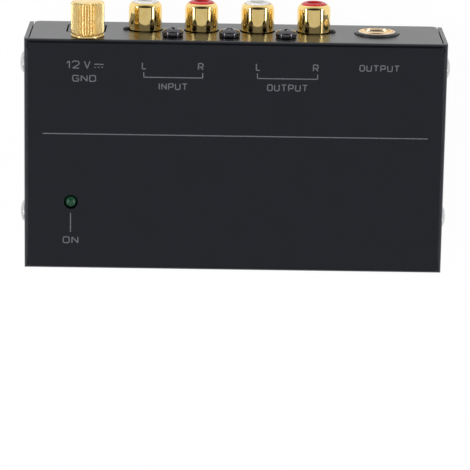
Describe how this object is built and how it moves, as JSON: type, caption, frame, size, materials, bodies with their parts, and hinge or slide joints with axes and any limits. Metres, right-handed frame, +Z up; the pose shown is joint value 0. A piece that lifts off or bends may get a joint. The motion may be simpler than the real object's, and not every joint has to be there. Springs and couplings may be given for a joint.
{
  "type": "phono preamp",
  "caption": "Small folded-steel phono preamp with gold phono sockets, a thumb-nut ground terminal, a 12 V inlet, a large output jack and a power light.",
  "frame": {"origin": "on the surface it stands on, under the middle of the whole outline with its connectors and screws", "axes": "+X along the case towards the large output jack, +Y out of the connector panel, +Z up through the printed face"},
  "size_m": [0.1084, 0.0682, 0.0275],
  "materials": {
    "case_black": "satin black powder paint on folded steel",
    "gold_polished": "polished gold plate",
    "gold_matte": "fine matte gold plate",
    "insert_white": "moulded, smooth",
    "insert_red": "moulded, smooth",
    "black_plastic": "moulded, fine satin",
    "black_screw": "black oxide, satin",
    "zinc_steel": "zinc plate, turned",
    "tin": "tinned, satin",
    "rubber": "matte",
    "led_green": "clear tinted, unlit",
    "board_green": "lacquered laminate",
    "can_sleeve": "shrunk sleeve",
    "film_box": "moulded box",
    "ferrite": "sintered, wound",
    "legend_grey": "screen-printed ink",
    "resistor_coat": "lacquer"
  },
  "bodies": {
    "case": {"amplifier_chip_1": "black_plastic", "amplifier_chip_2": "black_plastic", "base_tray": "case_black", "block_screws": "black_screw", "board_screws": "zinc_steel", "board_standoffs": "tin", "circuit_board": "board_green", "contact_input_left": "gold_polished", "contact_input_right": "gold_polished", "contact_output_left": "gold_polished", "contact_output_right": "gold_polished", "coupling_capacitor_1": "can_sleeve", "coupling_capacitor_2": "can_sleeve", "coupling_capacitor_3": "can_sleeve", "film_capacitor_1": "film_box", "film_capacitor_2": "film_box", "film_capacitor_3": "film_box", "filter_capacitor_1": "can_sleeve", "filter_capacitor_2": "can_sleeve", "filter_capacitor_3": "can_sleeve", "ground_stud": "gold_matte", "ground_tag": "tin", "insulator_input_left": "insert_white", "insulator_input_right": "insert_red", "insulator_output_left": "insert_white", "insulator_output_right": "insert_red", "jack_body": "black_plastic", "jack_bushing": "gold_polished", "jack_ring_spring": "tin", "jack_tip_spring": "tin", "led_leads": "tin", "led_lens": "led_green", "led_spacer": "black_plastic", "lid": "case_black", "power_inlet_body": "black_plastic", "power_inlet_leaf": "tin", "power_inlet_pin": "tin", "regulator": "black_plastic", "resistors": "resistor_coat", "rubber_feet": "rubber", "shell_input_left": "gold_polished", "shell_input_right": "gold_polished", "shell_output_left": "gold_polished", "shell_output_right": "gold_polished", "side_screws": "zinc_steel", "socket_block": "black_plastic", "stud_nut": "tin", "supply_choke": "ferrite"},
    "ground_nut_slider": {"ground_washer": "gold_matte"},
    "ground_nut": {"ground_nut": "gold_matte"}
  },
  "joints": [
    {"name": "ground_nut_travel", "type": "slide", "parent": "case", "child": "ground_nut_slider", "axis": [0, 1, 0], "range_m": [0, 0.0021]},
    {"name": "ground_nut_turn", "type": "hinge", "parent": "ground_nut_slider", "child": "ground_nut", "pos_m": [-0.0366, 0.02446, 0.0217], "axis": [0, 1, 0], "range_deg": [0, 1080]}
  ],
  "couplings": [
    {"joint": "ground_nut_turn", "follows": "ground_nut_travel", "rad_per_m": 8976}
  ]
}
